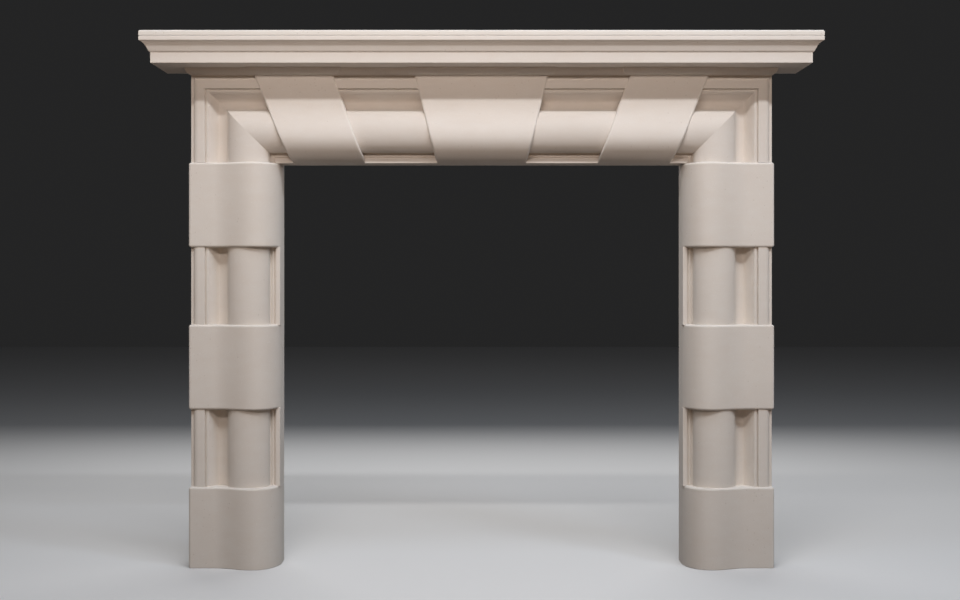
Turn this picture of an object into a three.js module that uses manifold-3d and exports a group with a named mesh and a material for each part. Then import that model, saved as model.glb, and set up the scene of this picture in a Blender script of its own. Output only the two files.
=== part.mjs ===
// A carved stone chimneypiece in the blocked style: two jambs, a lintel with three keystones, a cornice and
// a top slab. Millimetres, +Z up. X runs along the wall and the face looks towards -Y. The origin is at the
// middle of the footprint, on the floor.

import * as THREE from 'three';
import { mergeVertices } from 'three/addons/utils/BufferGeometryUtils.js';
import Module from 'manifold-3d';

// The opening
const OPENING_WIDTH = 1043;
const OPENING_HEIGHT = 1042;

// The moulded surround, seen in section: widths run from its outer face in to the opening, and depths stand
// forward from the wall. The hollow's handles set how its curve leaves the bead and arrives at its bottom.
const OUTER_FILLET_WIDTH = 7.5;
const OUTER_FILLET_DEPTH = 106;
const OUTER_OVOLO_WIDTH = 13;
const BAND_WIDTH = 16;
const BAND_DEPTH = 116;
const BEAD_QUIRK_WIDTH = 1.5;
const BEAD_RADIUS = 5;
const BEAD_DEPTH = 107;
const HOLLOW_WIDTH = 20.5;
const HOLLOW_TOP_DEPTH = 104;
const HOLLOW_DEPTH = 77;
const HOLLOW_LEAVING = [5.5, -9];
const HOLLOW_ARRIVING = [-9, 0];
const RISE_WIDTH = 23;
const ROUND_SPRING_DEPTH = 92;
const ROUND_WIDTH = 107;
const ROUND_DEPTH = 138.5;
const CHANNEL_WIDTH = 17;
const SMALL_BEAD_RADIUS = 3.5;
const SMALL_BEAD_DEPTH = 80;
const INNER_FILLET_WIDTH = 9.5;
const INNER_FILLET_DEPTH = 85;

// The blocks and keystones, which share one section
const BLOCK_PROJECTION = 4;
const BLOCK_FLAT_WIDTH = 66;
const BLOCK_APEX_FROM_OPENING = 64.5;
const BLOCK_APEX_DEPTH = 150;
const BLOCK_NOSE_DROP = 100;
const FOOT_BLOCK_HEIGHT = 208;
const MIDDLE_BLOCK_HEIGHT = 218;
const TOP_BLOCK_HEIGHT = 218;

// The keystones, by their edges at the underside of the bed mould and at the head of the opening
const CENTRE_KEYSTONE_TOP_WIDTH = 343.5;
const CENTRE_KEYSTONE_BOTTOM_WIDTH = 232;
const SIDE_KEYSTONE_TOP_OFFSET = 483;
const SIDE_KEYSTONE_TOP_WIDTH = 204;
const SIDE_KEYSTONE_BOTTOM_OFFSET = 394;
const SIDE_KEYSTONE_BOTTOM_WIDTH = 190.5;

// The bed mould, which laps over the top of the moulding
const BED_LAP = 2.5;
const BED_OVOLO_HEIGHT = 19;
const BED_OVOLO_PROJECTION = 19.5;
const BED_END_INSET = 6.5;

// The cornice and the slab on it. The cyma's two handles set how its curve leaves the fascia and arrives
// under the fillet.
const CORNICE_OVERHANG = 89.5;
const FASCIA_DEPTH = 213;
const FASCIA_HEIGHT = 27;
const CYMA_PROJECTION = 24.5;
const CYMA_HEIGHT = 27;
const CYMA_LEAVING = [6, 1];
const CYMA_ARRIVING = [-18.5, -9];
const TOP_FILLET_HEIGHT = 11;
const SLAB_THICKNESS = 14;

// Bed joint between two stones, how far the moulding runs into a block or keystone, the distance within
// which two points are one, and how finely the curves are cut
const JOINT = 0.3;
const BLOCK_LAP = 0.5;
const SAME_POINT = 1e-4;
const SMALL_CURVE_STEPS = 6;
const LARGE_CURVE_STEPS = 12;

// The stone's colours and polish
const JAMB_COLOUR = 0xe2dbd2;
const LINTEL_COLOUR = 0xe4ddd5;
const SLAB_COLOUR = 0xe6e0d9;
const STONE_ROUGHNESS = 0.55;

// Sizes worked out from those above
const OPENING_HALF = OPENING_WIDTH / 2;
const BAND_START = OUTER_FILLET_WIDTH + OUTER_OVOLO_WIDTH;
const BAND_END = BAND_START + BAND_WIDTH;
const BEAD_START = BAND_END + BEAD_QUIRK_WIDTH;
const HOLLOW_START = BEAD_START + 2 * BEAD_RADIUS + BEAD_QUIRK_WIDTH;
const HOLLOW_BOTTOM = HOLLOW_START + HOLLOW_WIDTH;
const ROUND_START = HOLLOW_BOTTOM + RISE_WIDTH;
const ROUND_END = ROUND_START + ROUND_WIDTH;
const INNER_FILLET_START = ROUND_END + CHANNEL_WIDTH;
const MOULDING_WIDTH = INNER_FILLET_START + INNER_FILLET_WIDTH;
const MOULDING_FACE = OPENING_HALF + MOULDING_WIDTH;
const BLOCK_WIDTH = MOULDING_WIDTH + BLOCK_PROJECTION;
const BLOCK_FACE = OPENING_HALF + BLOCK_WIDTH;
const BLOCK_DEPTH = BAND_DEPTH + BLOCK_PROJECTION;
const GAP_HEIGHT = (OPENING_HEIGHT - FOOT_BLOCK_HEIGHT - MIDDLE_BLOCK_HEIGHT - TOP_BLOCK_HEIGHT) / 2;
const FRIEZE_HEIGHT = MOULDING_WIDTH - BED_LAP;
const BED_BOTTOM = OPENING_HEIGHT + FRIEZE_HEIGHT;
const SOFFIT_HEIGHT = BED_BOTTOM + BED_OVOLO_HEIGHT;
const FASCIA_HALF = MOULDING_FACE - BED_END_INSET + CORNICE_OVERHANG;
const FASCIA_TOP = SOFFIT_HEIGHT + FASCIA_HEIGHT;
const CYMA_TOP = FASCIA_TOP + CYMA_HEIGHT;
const CORNICE_TOP = CYMA_TOP + TOP_FILLET_HEIGHT;
const SHELF_DEPTH = FASCIA_DEPTH + CYMA_PROJECTION;

const wasm = await Module();
wasm.setup();

// Geometry in and out of the boolean library

function toSolid(geometry) {
  const bare = geometry.clone();
  bare.deleteAttribute('normal');
  bare.deleteAttribute('uv');
  const merged = mergeVertices(bare, SAME_POINT);
  return new wasm.Manifold(new wasm.Mesh({
    numProp: 3,
    vertProperties: new Float32Array(merged.attributes.position.array),
    triVerts: new Uint32Array(merged.index.array),
  }));
}

function toGeometry(solid) {
  const mesh = solid.getMesh();
  const geometry = new THREE.BufferGeometry();
  geometry.setAttribute('position', new THREE.BufferAttribute(new Float32Array(mesh.vertProperties), 3));
  geometry.setIndex(new THREE.BufferAttribute(new Uint32Array(mesh.triVerts), 1));
  geometry.computeVertexNormals();
  return geometry;
}

function union(solids) {
  return solids.reduce((whole, solid) => whole.add(solid));
}

// Extrusions of a closed outline: upwards from a plan, along the wall from a section, or out from the wall
// from an elevation. Depths stand forward from the wall, which is at Y = 0.

function extrusion(outline, length, steps) {
  const shape = new THREE.Shape(outline.map(([x, y]) => new THREE.Vector2(x, y)));
  return new THREE.ExtrudeGeometry(shape, { depth: length, bevelEnabled: false, steps });
}

function extrude(outline, length, placement) {
  return toSolid(extrusion(outline, length, 1).applyMatrix4(placement));
}

function raisePlan(outline, bottom, top) {
  const placement = new THREE.Matrix4().makeTranslation(0, 0, bottom);
  return extrude(outline.map(([x, depth]) => [x, -depth]), top - bottom, placement);
}

function runSection(outline, left, right) {
  const placement = new THREE.Matrix4().set(
    0, 0, 1, left,
    1, 0, 0, 0,
    0, 1, 0, 0,
    0, 0, 0, 1,
  );
  return extrude(outline.map(([depth, height]) => [-depth, height]), right - left, placement);
}

function projectElevation(outline, depth) {
  const placement = new THREE.Matrix4().set(
    1, 0, 0, 0,
    0, 0, -1, 0,
    0, 1, 0, 0,
    0, 0, 0, 1,
  );
  return extrude(outline, depth, placement);
}

// Points of a quarter ellipse from start to end. It leaves the start along the first axis named, 'across' or
// 'out', and arrives along the other one.

function quarter(start, end, leaving, steps) {
  const [x0, y0] = start;
  const [x1, y1] = end;
  return Array.from({ length: steps }, (_, i) => {
    const angle = (Math.PI / 2) * ((i + 1) / steps);
    const early = Math.sin(angle);
    const late = 1 - Math.cos(angle);
    const [across, out] = leaving === 'across' ? [early, late] : [late, early];
    return [x0 + (x1 - x0) * across, y0 + (y1 - y0) * out];
  });
}

// Points of a cubic curve from start to end, with a handle for how it leaves and one for how it arrives

function curve(start, leaving, arriving, end, steps) {
  const from = new THREE.Vector2(...start);
  const to = new THREE.Vector2(...end);
  const first = new THREE.Vector2(...leaving).add(from);
  const second = new THREE.Vector2(...arriving).add(to);
  const points = new THREE.CubicBezierCurve(from, first, second, to).getPoints(steps);
  return points.slice(1).map(({ x, y }) => [x, y]);
}

// Points of a bead, a half circle standing on a line at a given depth

function bead(start, radius, depth, steps) {
  return Array.from({ length: steps + 1 }, (_, i) => {
    const angle = Math.PI * (i / steps);
    return [start + radius * (1 - Math.cos(angle)), depth + radius * Math.sin(angle)];
  });
}

// The moulding in section, as [distance in from its outer face, depth]

function mouldingSection() {
  const outerFillet = [OUTER_FILLET_WIDTH, OUTER_FILLET_DEPTH];
  const hollowTop = [HOLLOW_START, HOLLOW_TOP_DEPTH];
  const hollowBottom = [HOLLOW_BOTTOM, HOLLOW_DEPTH];
  const roundStart = [ROUND_START, ROUND_SPRING_DEPTH];
  const roundTop = [ROUND_START + ROUND_WIDTH / 2, ROUND_DEPTH];
  const roundEnd = [ROUND_END, ROUND_SPRING_DEPTH];
  const smallBeadStart = ROUND_END + CHANNEL_WIDTH / 2 - SMALL_BEAD_RADIUS;
  return [
    [0, 0],
    [0, OUTER_FILLET_DEPTH],
    outerFillet,
    ...quarter(outerFillet, [BAND_START, BAND_DEPTH], 'out', SMALL_CURVE_STEPS),
    [BAND_END, BAND_DEPTH],
    [BAND_END, BEAD_DEPTH],
    ...bead(BEAD_START, BEAD_RADIUS, BEAD_DEPTH, SMALL_CURVE_STEPS),
    [HOLLOW_START, BEAD_DEPTH],
    hollowTop,
    ...curve(hollowTop, HOLLOW_LEAVING, HOLLOW_ARRIVING, hollowBottom, LARGE_CURVE_STEPS),
    ...quarter(hollowBottom, roundStart, 'across', LARGE_CURVE_STEPS),
    ...quarter(roundStart, roundTop, 'out', LARGE_CURVE_STEPS),
    ...quarter(roundTop, roundEnd, 'across', LARGE_CURVE_STEPS),
    [ROUND_END, SMALL_BEAD_DEPTH],
    ...bead(smallBeadStart, SMALL_BEAD_RADIUS, SMALL_BEAD_DEPTH, SMALL_CURVE_STEPS),
    [INNER_FILLET_START, SMALL_BEAD_DEPTH],
    [INNER_FILLET_START, INNER_FILLET_DEPTH],
    [MOULDING_WIDTH, INNER_FILLET_DEPTH],
    [MOULDING_WIDTH, 0],
  ];
}

// The block in section, as [distance in from its outer face, depth]: a flat, a long swell up to the apex and
// a round nose, a quarter ellipse that ends along the side of the opening

function blockSection() {
  const apex = BLOCK_WIDTH - BLOCK_APEX_FROM_OPENING;
  const noseEnd = [BLOCK_WIDTH, BLOCK_APEX_DEPTH - BLOCK_NOSE_DROP];
  const swell = Array.from({ length: LARGE_CURVE_STEPS }, (_, i) => {
    const share = (i + 1) / LARGE_CURVE_STEPS;
    const rise = (1 - Math.cos(Math.PI * share)) / 2;
    return [
      BLOCK_FLAT_WIDTH + (apex - BLOCK_FLAT_WIDTH) * share,
      BLOCK_DEPTH + (BLOCK_APEX_DEPTH - BLOCK_DEPTH) * rise,
    ];
  });
  return [
    [0, 0],
    [0, BLOCK_DEPTH],
    [BLOCK_FLAT_WIDTH, BLOCK_DEPTH],
    ...swell,
    ...quarter([apex, BLOCK_APEX_DEPTH], noseEnd, 'across', LARGE_CURVE_STEPS),
    [BLOCK_WIDTH, 0],
  ];
}

// A jamb on the left (side -1) or the right (side 1): three blocks, with the moulding running up from each
// to the next

function jamb(side) {
  const moulding = mouldingSection().map(([inward, depth]) => [side * (MOULDING_FACE - inward), depth]);
  const block = blockSection().map(([inward, depth]) => [side * (BLOCK_FACE - inward), depth]);
  const middleBottom = FOOT_BLOCK_HEIGHT + GAP_HEIGHT;
  const middleTop = middleBottom + MIDDLE_BLOCK_HEIGHT;
  const topBottom = OPENING_HEIGHT - TOP_BLOCK_HEIGHT;
  return union([
    raisePlan(block, 0, FOOT_BLOCK_HEIGHT),
    raisePlan(moulding, FOOT_BLOCK_HEIGHT - BLOCK_LAP, middleBottom + BLOCK_LAP),
    raisePlan(block, middleBottom, middleTop),
    raisePlan(moulding, middleTop - BLOCK_LAP, topBottom + BLOCK_LAP),
    raisePlan(block, topBottom, OPENING_HEIGHT - JOINT),
  ]);
}

// The moulding over the opening, carried up, across and down again past the mitres: the section is extruded
// through four stations, which are then moved to the two ends and the two mitre planes

function lintelMoulding() {
  const outline = mouldingSection().map(([inward, depth]) => [inward, -depth]);
  const stations = 3;
  const geometry = extrusion(outline, stations, stations);
  const position = geometry.attributes.position;
  const crown = OPENING_HEIGHT + MOULDING_WIDTH;
  for (let i = 0; i < position.count; i += 1) {
    const inward = position.getX(i);
    const station = Math.round(position.getZ(i));
    const side = station < 2 ? -1 : 1;
    const atMitre = station === 1 || station === 2;
    position.setX(i, side * (MOULDING_FACE - inward));
    position.setZ(i, atMitre ? crown - inward : OPENING_HEIGHT);
  }
  return toSolid(geometry);
}

// A keystone seen from in front, with its two leaning sides drawn in by an inset

function keystoneFront({ topMiddle, topWidth, bottomMiddle, bottomWidth }, inset) {
  const low = bottomWidth / 2 - inset;
  const high = topWidth / 2 - inset;
  return projectElevation([
    [bottomMiddle - low, OPENING_HEIGHT],
    [bottomMiddle + low, OPENING_HEIGHT],
    [topMiddle + high, BED_BOTTOM],
    [topMiddle - high, BED_BOTTOM],
  ], BLOCK_APEX_DEPTH);
}

// A keystone: the block section run along the wall and cut by its two leaning sides

function keystone(key) {
  const top = OPENING_HEIGHT + BLOCK_WIDTH;
  const level = blockSection().map(([inward, depth]) => [depth, top - inward]);
  const reach = Math.abs(key.topMiddle) + Math.abs(key.bottomMiddle) + key.topWidth + key.bottomWidth;
  return runSection(level, -reach, reach).intersect(keystoneFront(key, 0));
}

// A course with a moulded edge that returns at both ends. The edge is given as [projection, height] from the
// bottom up, the front stands at a depth from the wall and the ends at half the length.

function returnedCourse(edge, middle, half, depth) {
  const bottom = edge[0][1];
  const top = edge[edge.length - 1][1];
  const section = [
    [0, bottom],
    ...edge.map(([out, height]) => [depth + out, height]),
    [0, top],
  ];
  const elevation = [
    ...edge.map(([out, height]) => [middle + half + out, height]),
    ...edge.toReversed().map(([out, height]) => [middle - half - out, height]),
  ];
  const reach = Math.max(...edge.map(([out]) => out));
  const run = runSection(section, middle - half - reach, middle + half + reach);
  return run.intersect(projectElevation(elevation, depth + reach));
}

function bedMould() {
  const top = SOFFIT_HEIGHT - JOINT;
  const edge = [
    [0, BED_BOTTOM],
    ...quarter([0, BED_BOTTOM], [BED_OVOLO_PROJECTION, top], 'across', SMALL_CURVE_STEPS),
  ];
  const overSide = SIDE_KEYSTONE_TOP_WIDTH / 2;
  return union([
    returnedCourse(edge, 0, MOULDING_FACE - BED_END_INSET, OUTER_FILLET_DEPTH),
    returnedCourse(edge, 0, CENTRE_KEYSTONE_TOP_WIDTH / 2, BLOCK_DEPTH),
    returnedCourse(edge, -SIDE_KEYSTONE_TOP_OFFSET, overSide, BLOCK_DEPTH),
    returnedCourse(edge, SIDE_KEYSTONE_TOP_OFFSET, overSide, BLOCK_DEPTH),
  ]);
}

// The lintel: a straight keystone between two leaning ones, the moulding stopped against each of them and
// the bed mould over all

function lintel() {
  const centre = {
    topMiddle: 0,
    topWidth: CENTRE_KEYSTONE_TOP_WIDTH,
    bottomMiddle: 0,
    bottomWidth: CENTRE_KEYSTONE_BOTTOM_WIDTH,
  };
  const leaning = [-1, 1].map((side) => ({
    topMiddle: side * SIDE_KEYSTONE_TOP_OFFSET,
    topWidth: SIDE_KEYSTONE_TOP_WIDTH,
    bottomMiddle: side * SIDE_KEYSTONE_BOTTOM_OFFSET,
    bottomWidth: SIDE_KEYSTONE_BOTTOM_WIDTH,
  }));
  const keys = [centre, ...leaning];
  const sockets = union(keys.map((key) => keystoneFront(key, BLOCK_LAP)));
  return union([lintelMoulding().subtract(sockets), bedMould(), ...keys.map(keystone)]);
}

function cornice() {
  const start = [0, FASCIA_TOP];
  const end = [CYMA_PROJECTION, CYMA_TOP];
  const edge = [
    [0, SOFFIT_HEIGHT],
    start,
    ...curve(start, CYMA_LEAVING, CYMA_ARRIVING, end, LARGE_CURVE_STEPS),
    [CYMA_PROJECTION, CORNICE_TOP],
  ];
  return returnedCourse(edge, 0, FASCIA_HALF, FASCIA_DEPTH);
}

function shelfSlab() {
  const bottom = CORNICE_TOP + JOINT;
  const half = FASCIA_HALF + CYMA_PROJECTION;
  const top = bottom + SLAB_THICKNESS;
  const elevation = [[-half, bottom], [half, bottom], [half, top], [-half, top]];
  return projectElevation(elevation, SHELF_DEPTH);
}

// The stones in place

function stone(name, solid, colour) {
  const finish = { color: colour, roughness: STONE_ROUGHNESS, metalness: 0 };
  const material = new THREE.MeshStandardMaterial(finish);
  const mesh = new THREE.Mesh(toGeometry(solid), material);
  mesh.name = name;
  return mesh;
}

const mantelpiece = new THREE.Group();
mantelpiece.position.y = SHELF_DEPTH / 2;
mantelpiece.add(stone('left_jamb', jamb(-1), JAMB_COLOUR));
mantelpiece.add(stone('right_jamb', jamb(1), JAMB_COLOUR));
mantelpiece.add(stone('lintel', lintel(), LINTEL_COLOUR));
mantelpiece.add(stone('cornice', cornice(), LINTEL_COLOUR));
mantelpiece.add(stone('shelf_slab', shelfSlab(), SLAB_COLOUR));

export default mantelpiece;
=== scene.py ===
"""Looks for a carved limestone chimneypiece: two blocked jambs, a lintel with three keystones and
a bed mould, a moulded cornice and a thin top slab. Metres, +Z up, the wall behind at greatest Y."""

import math

import bmesh
import bpy
import numpy as np
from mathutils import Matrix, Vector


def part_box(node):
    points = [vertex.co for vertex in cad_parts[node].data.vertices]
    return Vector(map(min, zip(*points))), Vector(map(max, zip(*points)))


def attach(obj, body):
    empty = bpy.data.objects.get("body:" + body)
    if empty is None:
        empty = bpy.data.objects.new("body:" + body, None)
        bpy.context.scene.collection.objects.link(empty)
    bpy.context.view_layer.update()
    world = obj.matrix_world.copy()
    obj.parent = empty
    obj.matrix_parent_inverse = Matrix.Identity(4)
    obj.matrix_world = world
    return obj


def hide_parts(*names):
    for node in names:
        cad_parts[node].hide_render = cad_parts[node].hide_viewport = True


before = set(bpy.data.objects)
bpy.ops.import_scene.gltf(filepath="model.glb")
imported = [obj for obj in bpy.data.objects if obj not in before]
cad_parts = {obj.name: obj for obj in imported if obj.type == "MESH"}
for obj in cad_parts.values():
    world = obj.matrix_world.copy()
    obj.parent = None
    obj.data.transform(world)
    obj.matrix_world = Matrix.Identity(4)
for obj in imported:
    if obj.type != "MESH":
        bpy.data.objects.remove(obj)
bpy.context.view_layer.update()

# Places read from the frame
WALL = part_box("lintel")[1].y
OPENING_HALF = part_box("right_jamb")[0].x
JAMB_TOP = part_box("right_jamb")[1].z
LINTEL_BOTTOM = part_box("lintel")[0].z
LINTEL_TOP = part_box("lintel")[1].z
CORNICE_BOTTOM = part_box("cornice")[0].z
CORNICE_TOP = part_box("cornice")[1].z
SLAB_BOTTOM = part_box("shelf_slab")[0].z
SLAB_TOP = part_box("shelf_slab")[1].z
SHELF_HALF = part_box("shelf_slab")[1].x
SHELF_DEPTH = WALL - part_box("shelf_slab")[0].y

# The moulded surround in section: widths run in from its outer face, depths stand forward from the
# wall, and the hollow's handles set how its curve leaves the bead and arrives at its bottom
OUTER_FILLET_WIDTH = 0.0075
OUTER_FILLET_DEPTH = 0.106
OUTER_OVOLO_WIDTH = 0.013
BAND_WIDTH = 0.016
BAND_DEPTH = 0.116
BEAD_QUIRK_WIDTH = 0.0015
BEAD_RADIUS = 0.005
BEAD_DEPTH = 0.107
HOLLOW_WIDTH = 0.0205
HOLLOW_TOP_DEPTH = 0.104
HOLLOW_DEPTH = 0.077
HOLLOW_LEAVING = (0.007, -0.0075)
HOLLOW_ARRIVING = (-0.009, 0)
RISE_WIDTH = 0.023
ROUND_SPRING_DEPTH = 0.092
ROUND_WIDTH = 0.107
ROUND_DEPTH = 0.1385
CHANNEL_WIDTH = 0.015
SMALL_BEAD_RADIUS = 0.0033
SMALL_BEAD_DEPTH = 0.077
INNER_FILLET_WIDTH = 0.0115
INNER_FILLET_DEPTH = 0.085

# The blocks and keystones, which share one section
BLOCK_PROJECTION = 0.004
BLOCK_FLAT_WIDTH = 0.066
BLOCK_APEX_FROM_OPENING = 0.0645
BLOCK_APEX_DEPTH = 0.150
BLOCK_NOSE_DROP = 0.100
FOOT_BLOCK_HEIGHT = 0.208
MIDDLE_BLOCK_HEIGHT = 0.218
TOP_BLOCK_HEIGHT = 0.218

# The keystones, by their edges at the underside of the bed mould and at the head of the opening
CENTRE_KEYSTONE_TOP_WIDTH = 0.3435
CENTRE_KEYSTONE_BOTTOM_WIDTH = 0.232
SIDE_KEYSTONE_TOP_OFFSET = 0.483
SIDE_KEYSTONE_TOP_WIDTH = 0.204
SIDE_KEYSTONE_BOTTOM_OFFSET = 0.394
SIDE_KEYSTONE_BOTTOM_WIDTH = 0.1905

# How far a keystone runs up into the bed mould, and the moulding into a block or keystone
KEYSTONE_TENON = 0.006
MOULDING_LAP = 0.002

# The bed mould, which laps over the top of the moulding
BED_LAP = 0.0025
BED_OVOLO_PROJECTION = 0.0195
BED_END_INSET = 0.0065

# The cornice; the cyma's handles set how its curve leaves the fascia and arrives under the fillet
FASCIA_HEIGHT = 0.027
CYMA_PROJECTION = 0.0245
CYMA_HEIGHT = 0.027
CYMA_LEAVING = (0.0075, 0.001)
CYMA_ARRIVING = (-0.0185, -0.009)

# How far each kind of arris is eased
BLOCK_ARRIS = 0.006
BLOCK_OUTER_ARRIS = 0.0065
MOULDING_ARRIS = 0.0015
FINE_ARRIS = 0.0008
FOOT_ARRIS = 0.0015
SHELF_ARRIS = 0.005
JOINT_ARRIS = 0.0018

# How finely curves and arrises are cut
CURVE_STEPS = 28
SMALL_CURVE_STEPS = 12
ARRIS_STEPS = 5
CREASE_ANGLE = math.radians(32)

# The stone's colours: its bed runs between two close tones, and the others lie over them
JAMB_TONES = ((0.80, 0.755, 0.70), (0.76, 0.705, 0.65))
LINTEL_TONES = ((0.81, 0.76, 0.71), (0.77, 0.715, 0.66))
SHELF_TONES = ((0.81, 0.77, 0.72), (0.77, 0.725, 0.67))
VEIN_COLOUR = (0.66, 0.53, 0.42)
FLECK_COLOUR = (0.95, 0.93, 0.90)
PORE_COLOUR = (0.42, 0.35, 0.28)
# A painted highlight: a paler colour laid along the middle of every eased arris
PAINTED_HIGHLIGHT_COLOUR = (0.92, 0.89, 0.86)

# How strongly each colour shows, as a share of one
CLOUD_SHARE = 0.8
VEIN_SHARE = 0.12
FLECK_SHARE = 0.16
PORE_SHARE = 0.26
# How strongly the painted highlight shows along the arrises
PAINTED_HIGHLIGHT_SHARE = 0.35

# The pattern's fineness per metre, and where each kind of stone lies in it
BED_FINENESS = 3.0
GRAIN_FINENESS = 260.0
JAMB_BED = (0, 0, 0)
LINTEL_BED = (3.1, 0, 0)
SHELF_BED = (0, 4.7, 0)

# The honed finish
HONED_ROUGHNESS = (0.50, 0.64)
POWDERY_SHARE = 0.5
GRAIN_RELIEF = 0.0004
GRAIN_STRENGTH = 0.12
REFRACTIVE_INDEX = 1.5
SHEEN_LEVEL = 0.35

# Sizes worked out from those above
BAND_START = OUTER_FILLET_WIDTH + OUTER_OVOLO_WIDTH
BAND_END = BAND_START + BAND_WIDTH
BEAD_START = BAND_END + BEAD_QUIRK_WIDTH
HOLLOW_START = BEAD_START + 2 * BEAD_RADIUS + BEAD_QUIRK_WIDTH
HOLLOW_BOTTOM = HOLLOW_START + HOLLOW_WIDTH
ROUND_START = HOLLOW_BOTTOM + RISE_WIDTH
ROUND_END = ROUND_START + ROUND_WIDTH
INNER_FILLET_START = ROUND_END + CHANNEL_WIDTH
MOULDING_WIDTH = INNER_FILLET_START + INNER_FILLET_WIDTH
MOULDING_FACE = OPENING_HALF + MOULDING_WIDTH
BLOCK_WIDTH = MOULDING_WIDTH + BLOCK_PROJECTION
BLOCK_FACE = OPENING_HALF + BLOCK_WIDTH
BLOCK_DEPTH = BAND_DEPTH + BLOCK_PROJECTION
GAP_HEIGHT = (LINTEL_BOTTOM - FOOT_BLOCK_HEIGHT - MIDDLE_BLOCK_HEIGHT - TOP_BLOCK_HEIGHT) / 2
BED_BOTTOM = LINTEL_BOTTOM + MOULDING_WIDTH - BED_LAP
FASCIA_HALF = SHELF_HALF - CYMA_PROJECTION
FASCIA_DEPTH = SHELF_DEPTH - CYMA_PROJECTION


# Outlines and profiles, as arrays of points in a plane


def quarter(start, end, leaving, steps):
    """A quarter ellipse from start to end, without its first point: it leaves along the first axis
    named, across or out, so that coordinate follows the sine of the turn and the other one minus
    its cosine."""
    turn = np.linspace(0, math.pi / 2, steps + 1)[1:]
    early = np.sin(turn)
    late = 1 - np.cos(turn)
    across, out = (early, late) if leaving == "across" else (late, early)
    start = np.array(start)
    reach = np.array(end) - start
    return start + np.column_stack([reach[0] * across, reach[1] * out])


def curve(start, leaving, arriving, end, steps):
    """A cubic curve from start to end, without its first point: each point weighs the two ends and
    the tips of their handles by the four cubic Bernstein shares."""
    share = np.linspace(0, 1, steps + 1)[1:, None]
    rest = 1 - share
    first = np.add(start, leaving)
    second = np.add(end, arriving)
    ends = rest ** 3 * np.array(start) + share ** 3 * np.array(end)
    return ends + 3 * rest * share * (rest * first + share * second)


def bead(start, radius, depth, steps):
    """A half circle standing on a line at a given depth: its points follow the cosine and sine of
    the turn."""
    turn = np.linspace(0, math.pi, steps + 1)
    return np.column_stack([start + radius * (1 - np.cos(turn)), depth + radius * np.sin(turn)])


def unit(vectors):
    """Each vector divided by its own length."""
    return vectors / np.linalg.norm(vectors, axis=-1, keepdims=True)


def corner_normals(points):
    """For each corner of a closed outline, the move that carries both its sides out by one unit:
    the sum of their normals over one plus their dot product."""
    following = np.roll(points, -1, axis=0)
    along = unit(following - points)
    area = np.sum(points[:, 0] * following[:, 1] - following[:, 0] * points[:, 1])
    after = np.sign(area) * np.column_stack([along[:, 1], -along[:, 0]])
    before = np.roll(after, 1, axis=0)
    return (before + after) / (1 + np.sum(before * after, axis=1, keepdims=True))


def eased(points, radii, shared=True):
    """A closed outline with the named corners rounded by arcs tangent to their sides. Each arc is
    the swing between its two tangent points about its centre, cut in equal turns. It comes back
    with the outward move of every point, which the points of an arc share or take from the arc's
    centre, and with a mark that rises to one in the middle of each arc."""
    moves = corner_normals(points)
    radii = {index % len(points): radius for index, radius in radii.items()}
    corners = np.array(sorted(radii), dtype=int)
    radius = np.array([radii[index] for index in corners]).reshape(-1, 1)
    to_before = unit(points[corners - 1] - points[corners])
    to_after = unit(points[(corners + 1) % len(points)] - points[corners])
    half = np.arccos(np.sum(to_before * to_after, axis=1, keepdims=True)) / 2
    centre = points[corners] + unit(to_before + to_after) * radius / np.sin(half)
    reach = radius / np.tan(half)
    first = unit(points[corners] + to_before * reach - centre)[:, None]
    last = unit(points[corners] + to_after * reach - centre)[:, None]
    swing = (math.pi - 2 * half)[:, None]
    share = np.linspace(0, 1, ARRIS_STEPS + 1)[None, :, None]
    spokes = (np.sin((1 - share) * swing) * first + np.sin(share * swing) * last) / np.sin(swing)

    copies = np.ones(len(points), dtype=int)
    copies[corners] = ARRIS_STEPS + 1
    source = np.repeat(np.arange(len(points)), copies)
    on_arc = np.isin(source, corners)
    outline, outward, marks = points[source], moves[source], np.zeros(len(source))
    outline[on_arc] = (centre[:, None] + radius[:, None] * spokes).reshape(-1, 2)
    marks[on_arc] = np.tile(np.sin(math.pi * share[0, :, 0]), len(corners))
    if not shared:
        away = np.sign(np.sum(spokes * moves[corners][:, None], axis=2, keepdims=True))
        outward[on_arc] = (spokes * away).reshape(-1, 2)
    return outline, outward, marks


def rising(bottom, top, bottom_arris, top_arris):
    """A straight rise with an eased arris at each end: offsets and heights follow a quarter
    circle, then its mirror, and the marks rise to one in the middle of each."""
    turn = np.linspace(0, math.pi / 2, ARRIS_STEPS + 1)
    early = np.sin(turn)
    late = 1 - np.cos(turn)
    lower = np.column_stack([bottom_arris * (early - 1), bottom + bottom_arris * late])
    upper = np.column_stack([-top_arris * late, top - top_arris * (1 - early)])
    marks = np.sin(2 * turn)
    return np.vstack([lower, upper]), np.concatenate([marks, marks])


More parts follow.
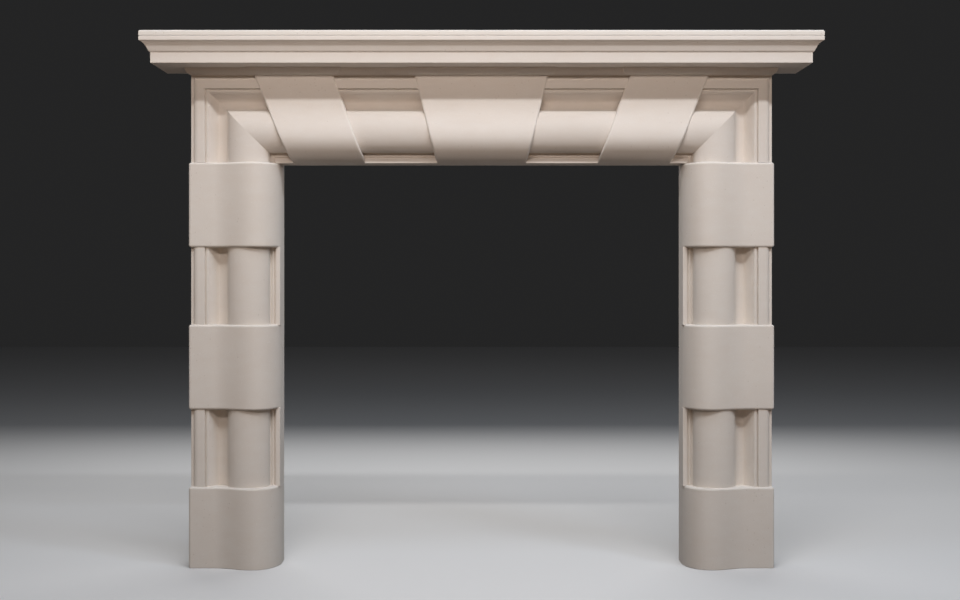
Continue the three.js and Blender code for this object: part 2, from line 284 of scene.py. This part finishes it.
def moulding_section():
    """The moulding cut across, as distance in from its outer face and depth: fillet, ovolo, band,
    bead, hollow, large round, small bead and inner fillet."""
    outer_fillet = (OUTER_FILLET_WIDTH, OUTER_FILLET_DEPTH)
    hollow_top = (HOLLOW_START, HOLLOW_TOP_DEPTH)
    hollow_bottom = (HOLLOW_BOTTOM, HOLLOW_DEPTH)
    round_start = (ROUND_START, ROUND_SPRING_DEPTH)
    round_top = (ROUND_START + ROUND_WIDTH / 2, ROUND_DEPTH)
    round_end = (ROUND_END, ROUND_SPRING_DEPTH)
    small_bead_start = ROUND_END + CHANNEL_WIDTH / 2 - SMALL_BEAD_RADIUS
    front = np.vstack([
        (0, OUTER_FILLET_DEPTH),
        outer_fillet,
        quarter(outer_fillet, (BAND_START, BAND_DEPTH), "out", SMALL_CURVE_STEPS),
        (BAND_END, BAND_DEPTH),
        (BAND_END, BEAD_DEPTH),
        bead(BEAD_START, BEAD_RADIUS, BEAD_DEPTH, SMALL_CURVE_STEPS),
        (HOLLOW_START, BEAD_DEPTH),
        hollow_top,
        curve(hollow_top, HOLLOW_LEAVING, HOLLOW_ARRIVING, hollow_bottom, CURVE_STEPS),
        quarter(hollow_bottom, round_start, "across", SMALL_CURVE_STEPS),
        quarter(round_start, round_top, "out", CURVE_STEPS),
        quarter(round_top, round_end, "across", CURVE_STEPS),
        (ROUND_END, SMALL_BEAD_DEPTH),
        bead(small_bead_start, SMALL_BEAD_RADIUS, SMALL_BEAD_DEPTH, SMALL_CURVE_STEPS),
        (INNER_FILLET_START, SMALL_BEAD_DEPTH),
        (INNER_FILLET_START, INNER_FILLET_DEPTH),
        (MOULDING_WIDTH, INNER_FILLET_DEPTH),
        (MOULDING_WIDTH, 0),
        (0, 0),
    ])
    band_end = 2 + SMALL_CURVE_STEPS
    hollow_lip = band_end + 3 + SMALL_CURVE_STEPS
    radii = {
        0: MOULDING_ARRIS,
        band_end: MOULDING_ARRIS,
        hollow_lip: FINE_ARRIS,
        -4: FINE_ARRIS,
        -3: MOULDING_ARRIS,
    }
    return eased(front, radii)


def block_section():
    """The block cut across, as distance in from its outer face and depth: a flat, a swell whose
    depth follows a raised cosine up to the apex, and a nose, a quarter ellipse that ends along the
    opening."""
    apex = BLOCK_WIDTH - BLOCK_APEX_FROM_OPENING
    share = np.linspace(0, 1, CURVE_STEPS + 1)[1:]
    swell = np.column_stack([
        BLOCK_FLAT_WIDTH + (apex - BLOCK_FLAT_WIDTH) * share,
        BLOCK_DEPTH + (BLOCK_APEX_DEPTH - BLOCK_DEPTH) * (1 - np.cos(math.pi * share)) / 2,
    ])
    nose_end = (BLOCK_WIDTH, BLOCK_APEX_DEPTH - BLOCK_NOSE_DROP)
    return np.vstack([
        (0, BLOCK_DEPTH),
        (BLOCK_FLAT_WIDTH, BLOCK_DEPTH),
        swell,
        quarter((apex, BLOCK_APEX_DEPTH), nose_end, "across", CURVE_STEPS),
        (BLOCK_WIDTH, 0),
        (0, 0),
    ])


def eased_block(radii):
    """The block's section with its corners eased. The outward moves fade away from the moulding's
    fillet to the flat beside the opening, so that an arris dies out there and leaves the opening's
    side whole."""
    outline, outward, marks = eased(block_section(), radii, shared=False)
    nose_end = BLOCK_APEX_DEPTH - BLOCK_NOSE_DROP
    past_apex = outline[:, 0] > BLOCK_WIDTH - BLOCK_APEX_FROM_OPENING
    kept = np.clip((outline[:, 1] - nose_end) / (INNER_FILLET_DEPTH - nose_end), 0, 1)
    outward[past_apex] *= kept[past_apex, None]
    return outline, outward, marks


def keystone_side(key, side, height):
    """Where the left side (-1) or the right side (1) of a keystone stands at a height: a straight
    line from its place at the head of the opening to its place under the bed mould."""
    top_middle, top_width, bottom_middle, bottom_width = key
    share = (height - LINTEL_BOTTOM) / (BED_BOTTOM - LINTEL_BOTTOM)
    low = bottom_middle + side * bottom_width / 2
    high = top_middle + side * top_width / 2
    return low + (high - low) * share


# Closed shells, and stones joined from them


def shell(name, rings, marks, creases=()):
    """A closed shell from a grid of points: each row of the grid is a closed ring, neighbouring
    rings are joined by quads, and the first and last are capped. Rings named as creases keep a
    sharp edge."""
    count, size = rings.shape[:2]
    index = np.arange(count * size).reshape(count, size)
    ahead = np.roll(index, -1, axis=1)
    quads = np.stack([index[:-1], ahead[:-1], ahead[1:], index[1:]], axis=-1).reshape(-1, 4)
    caps = [index[0][::-1].tolist(), index[-1].tolist()]
    mesh = bpy.data.meshes.new(name)
    mesh.from_pydata(rings.reshape(-1, 3), [], quads.tolist() + caps)
    # The arris marks, which carry the painted highlight along the eased arrises
    painted_highlight_marks = mesh.attributes.new("arris", "FLOAT", "POINT")
    painted_highlight_marks.data.foreach_set("value", marks.reshape(-1).astype(np.float32))
    ends = np.zeros(len(mesh.edges) * 2, dtype=np.int32)
    mesh.edges.foreach_get("vertices", ends)
    ring_of = ends.reshape(-1, 2) // size
    sharp = np.isin(ring_of[:, 0], creases) & (ring_of[:, 0] == ring_of[:, 1])
    mesh.attributes.new("sharp_edge", "BOOLEAN", "EDGE").data.foreach_set("value", sharp)
    piece = bpy.data.objects.new(name, mesh)
    bpy.context.scene.collection.objects.link(piece)
    return close(piece)


def close(piece):
    """Merges points that fall together, drops faces without area and turns every face outwards."""
    edit = bmesh.new()
    edit.from_mesh(piece.data)
    bmesh.ops.remove_doubles(edit, verts=edit.verts, dist=1e-6)
    bmesh.ops.dissolve_degenerate(edit, edges=edit.edges, dist=1e-6)
    bmesh.ops.recalc_face_normals(edit, faces=edit.faces)
    edit.to_mesh(piece.data)
    edit.free()
    return piece


def joined(name, shells):
    """One closed stone: the union of its overlapping shells."""
    whole = shells[0]
    for part in shells[1:]:
        union = whole.modifiers.new(part.name, "BOOLEAN")
        union.operation = "UNION"
        union.solver = "MANIFOLD"
        union.object = part
    bpy.context.view_layer.update()
    depsgraph = bpy.context.evaluated_depsgraph_get()
    mesh = bpy.data.meshes.new_from_object(whole.evaluated_get(depsgraph))
    mesh.name = name
    for part in shells:
        spare = part.data
        bpy.data.objects.remove(part)
        bpy.data.meshes.remove(spare)
    stone = bpy.data.objects.new(name, mesh)
    bpy.context.scene.collection.objects.link(stone)
    return stone


def smoothed(stone):
    """Smooth shading that breaks at creases, with each point's normal led by its larger faces so
    that flats stay flat beside their eased arrises."""
    mesh = stone.data
    mesh.shade_smooth()
    kept = np.zeros(len(mesh.edges), dtype=bool)
    mesh.edges.foreach_get("use_edge_sharp", kept)
    mesh.set_sharp_from_angle(angle=CREASE_ANGLE)
    found = np.zeros(len(mesh.edges), dtype=bool)
    mesh.edges.foreach_get("use_edge_sharp", found)
    mesh.edges.foreach_set("use_edge_sharp", kept | found)
    weighted = stone.modifiers.new("flats", "WEIGHTED_NORMAL")
    weighted.mode = "FACE_AREA"
    weighted.keep_sharp = True
    return stone


# The shells of each stone


def raised(name, outline, outward, corner_marks, profile, profile_marks):
    """A plan outline carried up a profile: each ring is the outline moved out by the profile's
    offset, at the profile's height. Points on the wall only slide along it."""
    slide = outward * np.where(outline[:, 1:] == 0, (1, 0), (1, 1))
    plan = outline[None] + profile[:, 0, None, None] * slide[None]
    heights = np.repeat(profile[:, 1:], len(outline), axis=1)
    rings = np.dstack([plan[..., 0], WALL - plan[..., 1], heights])
    marks = np.maximum(corner_marks[None], profile_marks[:, None])
    return shell(name, rings, marks)


def block(name, side, bottom, top, bottom_arris):
    """A block round one jamb: its plan is the block's section, and its edges are eased above and
    below."""
    outline, outward, corner_marks = eased_block({0: BLOCK_OUTER_ARRIS})
    outline[:, 0] = side * (BLOCK_FACE - outline[:, 0])
    outward[:, 0] *= -side
    profile, profile_marks = rising(bottom, top, bottom_arris, BLOCK_ARRIS)
    return raised(name, outline, outward, corner_marks, profile, profile_marks)


def jamb_moulding(name, side, bottom, top):
    """The moulding's section carried straight up from one block to the next."""
    section, _, marks = moulding_section()
    heights = np.array([bottom - MOULDING_LAP, top + MOULDING_LAP])
    rings = np.empty((len(heights), len(section), 3))
    rings[..., 0] = side * (MOULDING_FACE - section[:, 0])
    rings[..., 1] = WALL - section[:, 1]
    rings[..., 2] = heights[:, None]
    return shell(name, rings, np.tile(marks, (len(heights), 1)))


def jamb(name, side):
    """One upright: three blocks, evenly spaced from the floor to the lintel, and the moulding
    between them."""
    middle_bottom = FOOT_BLOCK_HEIGHT + GAP_HEIGHT
    middle_top = middle_bottom + MIDDLE_BLOCK_HEIGHT
    top_bottom = LINTEL_BOTTOM - TOP_BLOCK_HEIGHT
    return joined(name, [
        block(name + "_foot", side, 0, FOOT_BLOCK_HEIGHT, FOOT_ARRIS),
        jamb_moulding(name + "_lower", side, FOOT_BLOCK_HEIGHT, middle_bottom),
        block(name + "_middle", side, middle_bottom, middle_top, BLOCK_ARRIS),
        jamb_moulding(name + "_upper", side, middle_top, top_bottom),
        block(name + "_top", side, top_bottom, JAMB_TOP, BLOCK_ARRIS),
    ])


def level_rings(section, count):
    """Rings for the moulding across the opening: depths out from the wall, heights down from the
    crown."""
    rings = np.empty((count, len(section), 3))
    rings[..., 1] = WALL - section[:, 1]
    rings[..., 2] = LINTEL_BOTTOM + MOULDING_WIDTH - section[:, 0]
    return rings


def corner_moulding(side, key):
    """The moulding from one jamb up to its mitre, where each point is as far in as it is down, and
    across to the side of the nearest keystone."""
    section, _, marks = moulding_section()
    rings = level_rings(section, 3)
    rings[0, :, 2] = LINTEL_BOTTOM
    rings[:2, :, 0] = side * (MOULDING_FACE - section[:, 0])
    rings[2, :, 0] = keystone_side(key, side, rings[2, :, 2]) - side * MOULDING_LAP
    return shell("corner" + str(side), rings, np.tile(marks, (3, 1)), creases=(1,))


def level_moulding(left, right):
    """The moulding between two keystones: its ends follow their leaning sides."""
    section, _, marks = moulding_section()
    rings = level_rings(section, 2)
    rings[0, :, 0] = keystone_side(left, 1, rings[0, :, 2]) - MOULDING_LAP
    rings[1, :, 0] = keystone_side(right, -1, rings[1, :, 2]) + MOULDING_LAP
    return shell("level", rings, np.tile(marks, (2, 1)))


def keystone(key):
    """The block's section, stood upright and run between two leaning sides. Each ring is the
    section moved in by an eased arris, and the X of each point is the leaning side's place at its
    own height, moved in by the arris too."""
    outline, outward, marks = eased_block({})
    outline = np.column_stack([outline[:, 1], LINTEL_BOTTOM + BLOCK_WIDTH - outline[:, 0]])
    outward = np.column_stack([outward[:, 1], -outward[:, 0]])
    outward[outline[:, 0] == 0, 0] = 0
    arrises, arris_marks = rising(0, 0, BLOCK_ARRIS, BLOCK_ARRIS)
    side = np.repeat([-1, 1], ARRIS_STEPS + 1)[:, None]
    moved = outline[None] + arrises[:, 0, None, None] * outward[None]
    rings = np.empty((len(side), len(outline), 3))
    rings[..., 1] = WALL - moved[..., 0]
    rings[..., 2] = np.minimum(moved[..., 1], BED_BOTTOM + KEYSTONE_TENON)
    rings[..., 0] = keystone_side(key, side, rings[..., 2]) + arrises[:, 1:]
    return shell("keystone", rings, np.maximum(marks[None], arris_marks[:, None]))


def bed_mould():
    """The ovolo under the cornice: a plan that breaks forward over each keystone, carried up a
    quarter ellipse, with mitred corners."""
    breaks = [
        (-SIDE_KEYSTONE_TOP_OFFSET, SIDE_KEYSTONE_TOP_WIDTH),
        (0, CENTRE_KEYSTONE_TOP_WIDTH),
        (SIDE_KEYSTONE_TOP_OFFSET, SIDE_KEYSTONE_TOP_WIDTH),
    ]
    end = MOULDING_FACE - BED_END_INSET
    plan = [(-end, 0), (-end, OUTER_FILLET_DEPTH)]
    for middle, width in breaks:
        left, right = middle - width / 2, middle + width / 2
        plan += [
            (left, OUTER_FILLET_DEPTH),
            (left, BLOCK_DEPTH),
            (right, BLOCK_DEPTH),
            (right, OUTER_FILLET_DEPTH),
        ]
    plan += [(end, OUTER_FILLET_DEPTH), (end, 0)]
    outline, outward, corner_marks = eased(np.array(plan, dtype=float), {})
    ovolo_top = (BED_OVOLO_PROJECTION, LINTEL_TOP)
    ovolo = quarter((0, BED_BOTTOM), ovolo_top, "across", SMALL_CURVE_STEPS)
    profile = np.vstack([(0, BED_BOTTOM), ovolo])
    return raised("bed_mould", outline, outward, corner_marks, profile, np.zeros(len(profile)))


def lintel(name):
    """The stone over the opening: three keystones, the moulding between and beside them and the
    bed mould."""
    left, right = (
        (
            side * SIDE_KEYSTONE_TOP_OFFSET,
            SIDE_KEYSTONE_TOP_WIDTH,
            side * SIDE_KEYSTONE_BOTTOM_OFFSET,
            SIDE_KEYSTONE_BOTTOM_WIDTH,
        )
        for side in (-1, 1)
    )
    centre = (0, CENTRE_KEYSTONE_TOP_WIDTH, 0, CENTRE_KEYSTONE_BOTTOM_WIDTH)
    return joined(name, [
        bed_mould(),
        *(keystone(key) for key in (left, centre, right)),
        corner_moulding(-1, left),
        level_moulding(left, centre),
        level_moulding(centre, right),
        corner_moulding(1, right),
    ])


def course(name, half, depth, profile, profile_marks):
    """A straight course returned to the wall at both ends, its front corners mitred and faintly
    eased."""
    plan = np.array([(-half, 0), (-half, depth), (half, depth), (half, 0)], dtype=float)
    outline, outward, corner_marks = eased(plan, {1: FINE_ARRIS, 2: FINE_ARRIS})
    return raised(name, outline, outward, corner_marks, profile, profile_marks)


def cornice(name):
    """The projecting course: fascia, cyma and fillet over a flat soffit."""
    fascia_top = CORNICE_BOTTOM + FASCIA_HEIGHT
    cyma_top = fascia_top + CYMA_HEIGHT
    lower, lower_marks = rising(CORNICE_BOTTOM, fascia_top, MOULDING_ARRIS, 0)
    upper, upper_marks = rising(cyma_top, CORNICE_TOP, FINE_ARRIS, JOINT_ARRIS)
    lower, lower_marks = lower[:-ARRIS_STEPS], lower_marks[:-ARRIS_STEPS]
    under_fillet = (CYMA_PROJECTION - FINE_ARRIS, cyma_top)
    cyma = curve((0, fascia_top), CYMA_LEAVING, CYMA_ARRIVING, under_fillet, CURVE_STEPS)[:-1]
    profile = np.vstack([lower, cyma, upper + (CYMA_PROJECTION, 0)])
    marks = np.concatenate([lower_marks, np.zeros(len(cyma)), upper_marks])
    return course(name, FASCIA_HALF, FASCIA_DEPTH, profile, marks)


def shelf_slab(name):
    """The thin slab on top, eased all round."""
    profile, marks = rising(SLAB_BOTTOM, SLAB_TOP, JOINT_ARRIS, SHELF_ARRIS)
    return course(name, SHELF_HALF, SHELF_DEPTH, profile, marks)


# Stone


def new_group(name, inputs, outputs):
    """A shader node group with named sockets and its input and output nodes."""
    group = bpy.data.node_groups.new(name, "ShaderNodeTree")
    for label, kind, value in inputs:
        socket = group.interface.new_socket(label, in_out="INPUT", socket_type=kind)
        if value is not None:
            socket.default_value = value
    for label, kind in outputs:
        group.interface.new_socket(label, in_out="OUTPUT", socket_type=kind)
    return group, group.nodes.new("NodeGroupInput"), group.nodes.new("NodeGroupOutput")


def node(tree, kind, links=None, **values):
    """A node with its properties set and its sockets set or linked."""
    made = tree.nodes.new(kind)
    for key, value in values.items():
        setattr(made, key, value)
    for socket, value in (links or {}).items():
        if isinstance(value, bpy.types.NodeSocket):
            tree.links.new(value, made.inputs[socket])
        else:
            made.inputs[socket].default_value = value
    return made


def noise(tree, vector, scale, detail, roughness=0.5):
    """Cloudy noise, from zero to one: detail adds finer clouds, and roughness strengthens them."""
    return node(tree, "ShaderNodeTexNoise", {
        "Vector": vector,
        "Scale": scale,
        "Detail": detail,
        "Roughness": roughness,
    }).outputs["Fac"]


def spread(tree, value, low, high):
    """Stretches a value so that low becomes zero and high becomes one, held between them."""
    return node(tree, "ShaderNodeMapRange", {
        "Value": value,
        "From Min": low,
        "From Max": high,
    }).outputs["Result"]


def calculated(tree, operation, first, second):
    """Two values put through one operation of the Math node."""
    return node(tree, "ShaderNodeMath", {0: first, 1: second}, operation=operation).outputs[0]


def mixed(tree, share, first, second):
    """A share of the second colour over the first. The Mix node's colour sockets go by number,
    because its sockets for values and vectors have the same names."""
    sockets = {0: share, 6: first, 7: second}
    return node(tree, "ShaderNodeMix", sockets, data_type="RGBA").outputs[2]


def spots(tree, given, size, channel, chosen, edge):
    """Round spots in a few cells of a Voronoi pattern, at a multiple of the grain's fineness: a
    channel of each cell's chance colour chooses it, and the spot fades with the distance from the
    cell's middle."""
    fineness = calculated(tree, "MULTIPLY", given.outputs["Fineness"], size)
    vector = given.outputs["Vector"]
    cells = node(tree, "ShaderNodeTexVoronoi", {"Vector": vector, "Scale": fineness})
    chances = node(tree, "ShaderNodeSeparateColor", {0: cells.outputs["Color"]})
    few = spread(tree, chances.outputs[channel], *chosen)
    return calculated(tree, "MULTIPLY", spread(tree, cells.outputs["Distance"], *edge), few)


def bedding_group():
    """Slow clouds of the stone's bed: broad noise drawn out along the bed, and finer noise drawn
    out with it for the veins."""
    group, given, result = new_group(
        "limestone_bedding",
        [("Vector", "NodeSocketVector", None), ("Fineness", "NodeSocketFloat", BED_FINENESS)],
        [("Cloud", "NodeSocketFloat"), ("Vein", "NodeSocketFloat")],
    )
    flattened = (1.0, 1.0, 2.2)
    vein_size = 7.0
    sockets = {0: given.outputs["Vector"], 1: flattened}
    drawn = node(group, "ShaderNodeVectorMath", sockets, operation="MULTIPLY").outputs[0]
    broad = noise(group, drawn, given.outputs["Fineness"], 4.0, 0.55)
    vein_fineness = calculated(group, "MULTIPLY", given.outputs["Fineness"], vein_size)
    finer = noise(group, drawn, vein_fineness, 5.0, 0.6)
    group.links.new(spread(group, broad, 0.3, 0.7), result.inputs["Cloud"])
    group.links.new(spread(group, finer, 0.35, 0.75), result.inputs["Vein"])
    return group


def grain_group():
    """The stone's grain: fine noise for the ground, small round flecks of shell and a few open
    pores."""
    group, given, result = new_group(
        "limestone_grain",
        [("Vector", "NodeSocketVector", None), ("Fineness", "NodeSocketFloat", GRAIN_FINENESS)],
        [(label, "NodeSocketFloat") for label in ("Ground", "Flecks", "Pores")],
    )
    ground = noise(group, given.outputs["Vector"], given.outputs["Fineness"], 3.0, 0.6)
    flecks = spots(group, given, size=0.9, channel=0, chosen=(0.78, 0.82), edge=(0.38, 0.22))
    pores = spots(group, given, size=0.35, channel=1, chosen=(0.90, 0.93), edge=(0.20, 0.10))
    group.links.new(spread(group, ground, 0.3, 0.7), result.inputs["Ground"])
    group.links.new(flecks, result.inputs["Flecks"])
    group.links.new(pores, result.inputs["Pores"])
    return group


def arris_highlight_group():
    """A painted highlight on the arrises: the mark that rises to one in the middle of each, broken
    up by noise.
    """
    group, given, result = new_group(
        "painted_arris_highlight",
        [("Vector", "NodeSocketVector", None), ("Amount", "NodeSocketFloat", 1.0)],
        [("Painted Highlight", "NodeSocketFloat")],
    )
    mark = node(group, "ShaderNodeAttribute", attribute_name="arris").outputs["Fac"]
    patch_fineness = 18.0
    patches = spread(group, noise(group, given.outputs["Vector"], patch_fineness, 3.0), 0.2, 0.6)
    # The painted highlight's mask: the arris mark broken up by patches
    painted_highlight = calculated(group, "MULTIPLY", mark, patches)
    painted_highlight = calculated(group, "MULTIPLY", painted_highlight, given.outputs["Amount"])
    group.links.new(painted_highlight, result.inputs["Painted Highlight"])
    return group


def limestone(name, groups, tones, bed):
    """Honed limestone: two close tones mixed by the bedding, warmer veins, pale flecks, darker
    pores and a painted highlight along the arrises, with the grain in its roughness and in a
    shallow bump."""
    bedding, grain, arris = groups
    tone, shade = tones
    material = bpy.data.materials.new(name)
    material.use_nodes = True
    tree = material.node_tree
    surface = tree.nodes["Principled BSDF"]
    where = node(tree, "ShaderNodeTexCoord").outputs["Object"]
    where = node(tree, "ShaderNodeMapping", {"Vector": where, "Location": bed}).outputs[0]

    def placed(group, **values):
        """A group in this stone, read at the stone's place in the pattern."""
        made = node(tree, "ShaderNodeGroup", node_tree=group)
        tree.links.new(where, made.inputs["Vector"])
        for socket, value in values.items():
            made.inputs[socket].default_value = value
        return made

    beds = placed(bedding, Fineness=BED_FINENESS)
    grains = placed(grain, Fineness=GRAIN_FINENESS)
    # The painted highlight: a paler colour along the middle of every eased arris
    painted_highlight = placed(arris, Amount=1.0)
    colour = (*tone, 1)
    for mask, share, laid in (
        (beds.outputs["Cloud"], CLOUD_SHARE, shade),
        (beds.outputs["Vein"], VEIN_SHARE, VEIN_COLOUR),
        (grains.outputs["Flecks"], FLECK_SHARE, FLECK_COLOUR),
        (grains.outputs["Pores"], PORE_SHARE, PORE_COLOUR),
        (painted_highlight.outputs["Painted Highlight"], PAINTED_HIGHLIGHT_SHARE, PAINTED_HIGHLIGHT_COLOUR),
    ):
        amount = calculated(tree, "MULTIPLY", mask, share)
        colour = mixed(tree, amount, colour, (*laid, 1))
    tree.links.new(colour, surface.inputs["Base Color"])
    roughness = node(tree, "ShaderNodeMapRange", {
        "Value": grains.outputs["Ground"],
        "To Min": HONED_ROUGHNESS[0],
        "To Max": HONED_ROUGHNESS[1],
    }).outputs["Result"]
    tree.links.new(roughness, surface.inputs["Roughness"])
    bump = node(tree, "ShaderNodeBump", {
        "Height": calculated(tree, "SUBTRACT", grains.outputs["Ground"], grains.outputs["Pores"]),
        "Strength": GRAIN_STRENGTH,
        "Distance": GRAIN_RELIEF,
    })
    tree.links.new(bump.outputs["Normal"], surface.inputs["Normal"])
    surface.inputs["Diffuse Roughness"].default_value = POWDERY_SHARE
    surface.inputs["IOR"].default_value = REFRACTIVE_INDEX
    surface.inputs["Specular IOR Level"].default_value = SHEEN_LEVEL
    return material


# Camera, floor and light


def photographed():
    """The camera, level and square to the wall, with its frame shifted to the photograph's
    horizon."""
    distance = 4.150
    eye_level = 0.7592
    focal_pixels = 1570
    horizon = (481.5, 272.5)
    frame_size = (960, 600)
    lens = bpy.data.cameras.new("camera")
    lens.sensor_width = 36
    lens.lens = lens.sensor_width * focal_pixels / frame_size[0]
    lens.shift_x = (frame_size[0] / 2 - horizon[0]) / frame_size[0]
    lens.shift_y = (horizon[1] - frame_size[1] / 2) / frame_size[0]
    camera = bpy.data.objects.new("camera", lens)
    camera.location = (0, WALL - distance, eye_level)
    camera.rotation_euler = (math.pi / 2, 0, 0)
    bpy.context.scene.collection.objects.link(camera)
    bpy.context.scene.camera = camera


def soft_box(name, place, aim, power, size, colour=(1.0, 1.0, 1.0), spread_angle=180):
    """A rectangular lamp turned from its place towards its aim, its light held within a spread in
    degrees."""
    light = bpy.data.lights.new(name, "AREA")
    light.shape = "RECTANGLE"
    light.size, light.size_y = size
    light.energy = power
    light.color = colour
    light.spread = math.radians(spread_angle)
    holder = bpy.data.objects.new(name, light)
    holder.location = place
    direction = np.array(place) - np.array(aim)
    pan = math.atan2(direction[0], -direction[1])
    tilt = math.atan2(math.hypot(direction[0], direction[1]), direction[2])
    holder.rotation_euler = (tilt, 0, pan)
    bpy.context.scene.collection.objects.link(holder)


def floor():
    """A wide plain floor, pale to the eye, that throws little of its light back onto the stone."""
    reach = 12.0
    thrown = (0.12, 0.12, 0.12, 1)
    pale = (0.80, 0.79, 0.78, 1)
    corners = reach * np.array([(-1, -1, 0), (1, -1, 0), (1, 1, 0), (-1, 1, 0)])
    mesh = bpy.data.meshes.new("floor")
    mesh.from_pydata(corners.tolist(), [], [(0, 1, 2, 3)])
    plane = bpy.data.objects.new("floor", mesh)
    bpy.context.scene.collection.objects.link(plane)
    material = bpy.data.materials.new("floor")
    material.use_nodes = True
    tree = material.node_tree
    surface = tree.nodes["Principled BSDF"]
    seen = node(tree, "ShaderNodeLightPath").outputs["Is Camera Ray"]
    tree.links.new(mixed(tree, seen, thrown, pale), surface.inputs["Base Color"])
    surface.inputs["Roughness"].default_value = 0.8
    mesh.materials.append(material)


def studio():
    """A dim surround and long thin lamps level with the shelf's run, high and low in front of the
    wall, with a broad one overhead, one near the floor and one behind."""
    surround = (0.60, 0.60, 0.61, 1)
    surround_strength = 0.03
    high = (WALL - 2.45, 3.265)
    low = (WALL - 2.5, 1.85)
    strip = 0.15
    warm = (1.0, 0.88, 0.80)
    cool = (0.76, 0.86, 1.0)
    amber = (1.0, 0.64, 0.38)

    world = bpy.data.worlds.new("studio")
    world.use_nodes = True
    background = world.node_tree.nodes["Background"]
    background.inputs["Color"].default_value = surround
    background.inputs["Strength"].default_value = surround_strength
    bpy.context.scene.world = world

    soft_box(
        "key_lamp", place=(0.15, *high), aim=(0.15, WALL, 1.2),
        power=22.4, size=(2.0, strip), spread_angle=130,
    )
    soft_box(
        "side_lamp", place=(2.5, *high), aim=(2.2, WALL, 0.9),
        power=29, size=(1.0, strip), colour=cool,
    )
    soft_box(
        "low_left_lamp", place=(-0.5, *low), aim=(-0.5, WALL, 1.4),
        power=6.4, size=(1.0, strip), colour=warm, spread_angle=110,
    )
    soft_box(
        "low_right_lamp", place=(1.2, *low), aim=(1.0, WALL, 1.4),
        power=3.2, size=(1.0, strip), colour=warm, spread_angle=110,
    )
    soft_box(
        "floor_lamp", place=(0, WALL - 2.6, 0.02), aim=(0, WALL, 1.3),
        power=6.5, size=(4.0, 1.0), colour=amber, spread_angle=120,
    )
    soft_box(
        "overhead_lamp", place=(0, WALL - 1.6, 3.8), aim=(0, WALL, 1.0),
        power=37, size=(3.0, 1.5), colour=cool,
    )
    soft_box(
        "back_lamp", place=(0, WALL + 2.6, 2.2), aim=(0, WALL, 0.9),
        power=45, size=(4.0, 1.5),
    )
    bpy.context.scene.view_settings.view_transform = "Standard"


photographed()
floor()
studio()

GROUPS = (bedding_group(), grain_group(), arris_highlight_group())
JAMB_STONE = limestone("jamb_limestone", GROUPS, JAMB_TONES, JAMB_BED)
LINTEL_STONE = limestone("lintel_limestone", GROUPS, LINTEL_TONES, LINTEL_BED)
SHELF_STONE = limestone("shelf_limestone", GROUPS, SHELF_TONES, SHELF_BED)

STONES = [
    (jamb("left_jamb_stone", -1), "left_jamb", JAMB_STONE),
    (jamb("right_jamb_stone", 1), "right_jamb", JAMB_STONE),
    (lintel("lintel_stone"), "lintel", LINTEL_STONE),
    (cornice("cornice_stone"), "cornice", LINTEL_STONE),
    (shelf_slab("shelf_top_slab"), "shelf_slab", SHELF_STONE),
]
for stone, cad_node, material in STONES:
    smoothed(stone)
    stone.data.materials.clear()
    stone.data.materials.append(material)
    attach(stone, "root")
    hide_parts(cad_node)
